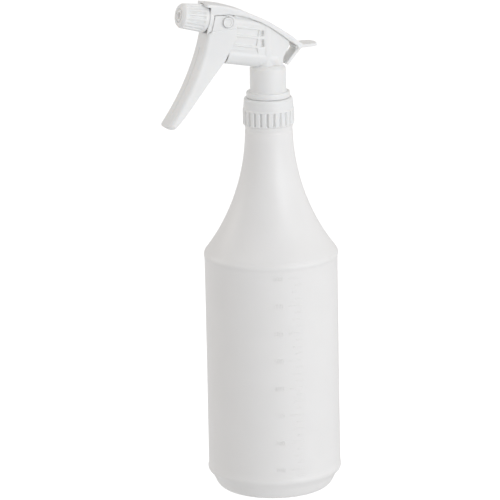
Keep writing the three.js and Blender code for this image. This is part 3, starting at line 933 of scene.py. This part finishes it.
def trigger_front(inset):
    """The lever's front edge from the top down, moved back by inset."""
    front = curve([(44.4, 304.5), (47.6, 287), (58.5, 264), (72.7, 246.3)], 28)
    return [(x - inset, z - inset * 0.45) for x, z in front]


def trigger_outline(inset):
    """The lever's side outline, with its front edge moved back by inset."""
    px, pz = head_point(PIVOT_X, 0)
    rear = curve([(67.4, 246), (58.6, 253.6), (48.6, 268.4), (33.6, 284.6)], 20)
    tip = arc(TIP_X - inset * 0.4, TIP_Z, TIP_R, -48, -120, 8)
    return [*arc(px, pz, EAR_R, 175, 70, 12), head_point(NOSE_X - 0.6, 3.2), head_point(NOSE_X - 0.2, -6.8),
            *trigger_front(inset), *tip, *rear, (24.6, 300), (24.2, 306)]


def layered(outlines):
    """A solid from side outlines with equal numbers of points, each at its own y."""
    count = len(outlines[0][1])
    last = count * (len(outlines) - 1)
    verts = [(x, y, z) for y, outline in outlines for x, z in outline]
    faces = [list(range(count)), list(range(last + count - 1, last - 1, -1))]
    for low in range(0, last, count):
        faces += [[low + k, low + (k + 1) % count, low + count + (k + 1) % count, low + count + k]
                  for k in range(count)]
    return mesh_piece("layered", verts, faces)


def rounded_lever():
    """The lever's whole outline with its front edges rounded, before it is hollowed."""
    turns = [math.radians(a) for a in range(0, 91, 15)]
    layers = [(HALF_W - RIM_ROUND * (1 - math.sin(a)), RIM_ROUND * (1 - math.cos(a))) for a in turns]
    layers = [(-y, inset) for y, inset in layers[::-1]] + layers
    return layered([(y, trigger_outline(inset)) for y, inset in layers])


def finger_groove():
    """The tool for the shallow dish down the lever's front, an arc of a circle across."""
    dish_r, depth, flatten = 14, 0.6, 0.27
    edge = trigger_front(0)[5:-3]
    sections = []
    for a in (math.radians(degrees) for degrees in range(-60, 61, 20)):
        back = [(x + dish_r - depth - dish_r * math.cos(a), z) for x, z in edge]
        front = [(x + 6, z) for x, z in edge[::-1]]
        sections.append((dish_r * math.sin(a) * flatten, back + front))
    return layered(sections)


def tip_keeper():
    """The tool that keeps what lies above the lever's rounded end."""
    along = Vector((0.625, 0, -0.78))
    out = Vector((0.78, 0, 0.625))
    end = Matrix((along, out, Vector((0, 1, 0)))).transposed().to_4x4()
    end.translation = Vector((TIP_X, 0, TIP_Z)) + along * 3.3
    return plate(filleted([(-120, -9), (0, -9, 7), (0, 9, 7), (-120, 9)], True), -60, 60, 0, end)


def pusher():
    """The finger inside the lever that pushes the piston."""
    finger = plate([head_point(39, CYL_Z + 2.6), head_point(46, CYL_Z + 4), head_point(46, CYL_Z - 4),
                    head_point(39, CYL_Z - 2.6)], -3, 3)
    nose = cross_pin(2.9, *head_point(39.3, CYL_Z), -3, 3, 48)
    reach = plate([*trigger_front(1), (20, 246), (20, 304)], -20, 20)
    return cut("push", merged("push", finger, nose), [reach], "INTERSECT")


def trigger():
    channel = [(10, 320), head_point(NOSE_X + 1, 12), head_point(NOSE_X + 1, -8),
               *trigger_front(2.2)[3:-4], (57, 251.5), (10, 264)]
    inner = BODY_HALF_W + GAP + 0.05
    steps = [plate([(25, 305.6), (41, 305.1), (41, 305.9), (25, 306.4)], side * 9 - 1.3, side * 9 + 1.3)
             for side in (-1, 1)]
    tools = [
        plate(channel, -inner, inner),
        cross_pin(3.5, *head_point(PIVOT_X, 0), -20, 20),
        cross_pin(3.9, *head_point(PIVOT_X + 1.5, 0), -20, 20),
        finger_groove(),
        *steps,
    ]
    shell = cut("shell", rounded_lever(), tools)
    shell = cut("shell", shell, [tip_keeper()], "INTERSECT")
    lever = moulded(merged("trigger_lever", shell, pusher()), 0.25, 3)
    dress(lever, "trigger", "trigger_plastic", "trigger", crease=60)


# ---- Piston, springs and outlet ----

CYLINDER = HEAD @ Matrix.Translation((0, 0, CYL_Z)) @ LAID
BARREL = HEAD @ LAID


def piston():
    stem = filleted([
        (0, 9), (2.2, 9, 0.2), (2.2, 13.4), (4.6, 13.4, 0.2), (4.6, 15, 0.3), (3.4, 15.6), (3.4, 21, 0.2),
        (2.6, 21.4), (2.6, 23.2), (3.4, 23.6, 0.2), (3.4, 35, 0.8), (2.4, 36.1, 0.5), (0, 36.1),
    ])
    dress(turned("piston_stem", stem, 64, CYLINDER), "piston", "inner_plastic", "piston_rod")
    cup = filleted([(2.5, 9.6, 0.1), (4.2, 9.6, 0.3), (5.1, 8.2, 0.1), (5.1, 9.4, 0.4), (4.8, 13.1, 0.3),
                    (2.5, 13.1, 0.1)], True)
    dress(turned("cup_seal", cup, 72, CYLINDER), "piston", "seal", "piston_cup")
    lip = filleted([(2.9, 21.7, 0.1), (4.3, 21.7, 0.2), (5.1, 20.8, 0.1), (5.1, 22.2, 0.3), (4.3, 22.9, 0.2),
                    (2.9, 22.9, 0.1)], True)
    dress(turned("vent_lip", lip, 72, CYLINDER), "piston", "seal", "vent_seal")


def springs():
    """The two coils, each along the head's x axis."""
    foot = CYL_REAR + GAP
    back = coil("piston_spring", 3.6, 0.4, foot, 9.2, 5, CYLINDER)
    dress(back, "head", "steel", "return_spring")
    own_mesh(back)
    front = 45.3
    valve = coil("valve_spring", 1.75, 0.25, 36.3, front, 4, BARREL)
    dress(valve, "head", "steel", "discharge_spring")
    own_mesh(valve)


def outlet():
    body = turned("body", filleted([
        (2.6, 33.6, 0.2), (4.1, 33.6, 0.2), (4.1, NOSE_X + GAP), (5.9, NOSE_X + GAP, 0.2),
        (5.9, NOSE_X + 1.8, 0.3), (4.7, NOSE_X + 1.8, 0.2), (4.7, 53, 0.4), (2.6, 53, 0.2),
    ], True), 72, BARREL)
    screw = thread("screw", 4.7, 5.4, 45.6, 2, 2, 0.5, 0.2, BARREL, 48)
    dress(merged("outlet_bush", body, screw), "head", "inner_plastic", "nose_bushing")
    poppet = filleted([(0, 32.2), (1.2, 32.2, 0.2), (2.3, 33.8, 0.2), (2.3, 36, 0.2), (1, 36),
                       (1, 38.5, 0.2), (0, 38.5)])
    dress(turned("valve_poppet", poppet, 48, BARREL), "discharge_valve", "inner_plastic", "discharge_valve")
    core = turned("core", filleted([(0, 45.6), (2.2, 45.6, 0.2), (2.2, 53.3, 0.2), (3.6, 53.3, 0.2),
                                    (3.6, 56.6, 0.2), (0, 56.6)]), 64, BARREL)
    slots = [block(-0.5, 0.5, 1.4, 5, 44, 58, BARREL @ Matrix.Rotation(TAU * i / 3, 4, "Z"))
             for i in range(3)]
    dress(cut("swirl_core", core, slots), "head", "inner_plastic", "spinner")
    seal = filleted([(4.05, 53.4, 0.2), (5.2, 53.4, 0.2), (5.2, 54.6, 0.2), (4.05, 54.6, 0.2)], True)
    dress(turned("outlet_seal", seal, 64, BARREL), "nozzle_seal", "seal", "nozzle_seal")


def flutes(r, x, angle):
    """Eighteen shallow finger flutes between the nozzle's plain rear band and its bevelled front."""
    if r < NOZZLE_FRONT_R - 0.2 or x < FLUTES_REAR:
        return r
    pitch = TAU / FLUTES
    off = abs((angle + pitch / 2) % pitch - pitch / 2) * r
    side = min(max((1.05 - off) / 0.7, 0), 1)
    ends = min(max((x - FLUTES_REAR) / 0.8, 0), 1) * min(max((FLUTES_FRONT - x) / 1.2, 0), 1)
    return r - FLUTE_DEPTH * side * side * (3 - 2 * side) * ends


def nozzle():
    front = NOZZLE_FRONT
    profile = filleted([
        (0.55, front - 1.4), (2.3, front - 1.4, 0.2), (2.3, front, 0.3), (3.7, front, 0.2),
        (3.7, front - 0.8, 0.1), (4.6, front - 0.8, 0.1), (4.6, front, 0.2),
        (NOZZLE_FRONT_R - 0.4, front, 0.6), (NOZZLE_FRONT_R + 0.9, front - 1.6, 0.8),
        (NOZZLE_REAR_R, NOZZLE_REAR + 2.2, 0.5),
        (NOZZLE_REAR_R, NOZZLE_REAR, 0.5), (5.8, NOZZLE_REAR, 0.3), (5.8, 53), (5.5, 53.1), (5.5, 54.9),
        (4, 54.9), (4, 57, 0.2), (0.55, 57),
    ], True)
    body = turned("body", refined(profile, 0.5), FLUTES * 16, BARREL, flutes)
    screw = thread("screw", 5.7, 5.1, 46.6, 2, 1.5, 0.5, 0.2, BARREL, 48)
    dress(merged("nozzle_cap", body, screw), "nozzle", "nozzle_plastic", "nozzle", crease=40)


# ---- Floor ----

def add_floor():
    """A wide pale sweep that reads as white and glows more softly on the object."""
    bm = bmesh.new()
    bmesh.ops.create_grid(bm, x_segments=1, y_segments=1, size=FLOOR_SIZE)
    mesh = bpy.data.meshes.new("floor")
    bm.to_mesh(mesh)
    bm.free()
    material = bpy.data.materials.new("sweep")
    material.use_nodes = True
    nodes, links = material.node_tree.nodes, material.node_tree.links
    shader = nodes["Principled BSDF"]
    shader.inputs["Base Color"].default_value = (0.3, 0.3, 0.3, 1)
    shader.inputs["Roughness"].default_value = 0.9
    shader.inputs["Emission Color"].default_value = (1, 1, 1, 1)
    shader.inputs["Emission Strength"].default_value = 0.9
    glow = nodes.new("ShaderNodeEmission")
    glow.inputs["Strength"].default_value = FLOOR_GLOW
    mix = nodes.new("ShaderNodeMixShader")
    path = nodes.new("ShaderNodeLightPath")
    links.new(path.outputs["Is Camera Ray"], mix.inputs["Fac"])
    links.new(glow.outputs[0], mix.inputs[1])
    links.new(shader.outputs[0], mix.inputs[2])
    links.new(mix.outputs[0], nodes["Material Output"].inputs["Surface"])
    mesh.materials.append(material)
    floor = bpy.data.objects.new("floor", mesh)
    floor.location.z = -FLOOR_DROP
    bpy.context.collection.objects.link(floor)


add_studio()
add_floor()
bottle_shell()
graduations()
pinch_off()
closure_cap()
neck_gasket()
tube_retainer()
dip_tube()
inlet_valve()
pump_body()
shroud()
trigger()
piston()
springs()
outlet()
nozzle()
